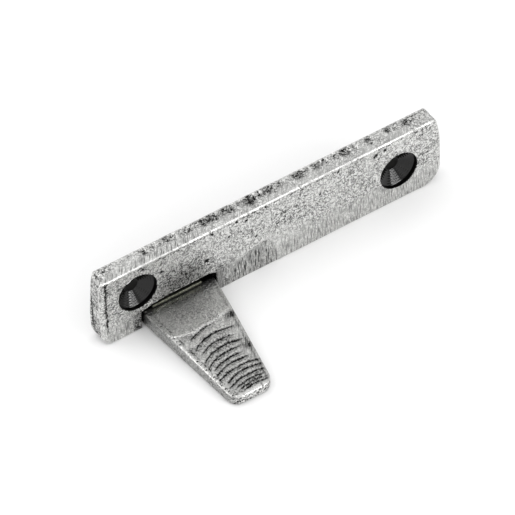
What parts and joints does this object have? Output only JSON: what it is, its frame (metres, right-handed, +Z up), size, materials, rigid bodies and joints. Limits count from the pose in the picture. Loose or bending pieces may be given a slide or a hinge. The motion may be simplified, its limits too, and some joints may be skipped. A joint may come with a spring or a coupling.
{
  "type": "thumb latch hook plate",
  "caption": "Forged steel latch hook plate: a flat bar with sunk screw holes and a tapered, ramped tongue welded into a slot in its lower edge.",
  "frame": {"origin": "centre of the bar's back face, which lies against the frame it is screwed to", "axes": "+X along the bar, away from the tongue's end; -Y out of the front face, along the tongue; +Z up, from the long edge that the tongue is flush with"},
  "size_m": [0.075, 0.0309, 0.016],
  "materials": {
    "pewter_patina_steel": "forged, blackened, burnished back to bright on the high spots, waxed",
    "weld_metal": "as laid, darkened by the patina"
  },
  "bodies": {
    "root": {"back_plate": "pewter_patina_steel", "wedge_tongue": "pewter_patina_steel", "front_weld": "weld_metal", "rear_weld": "weld_metal"}
  },
  "joints": []
}
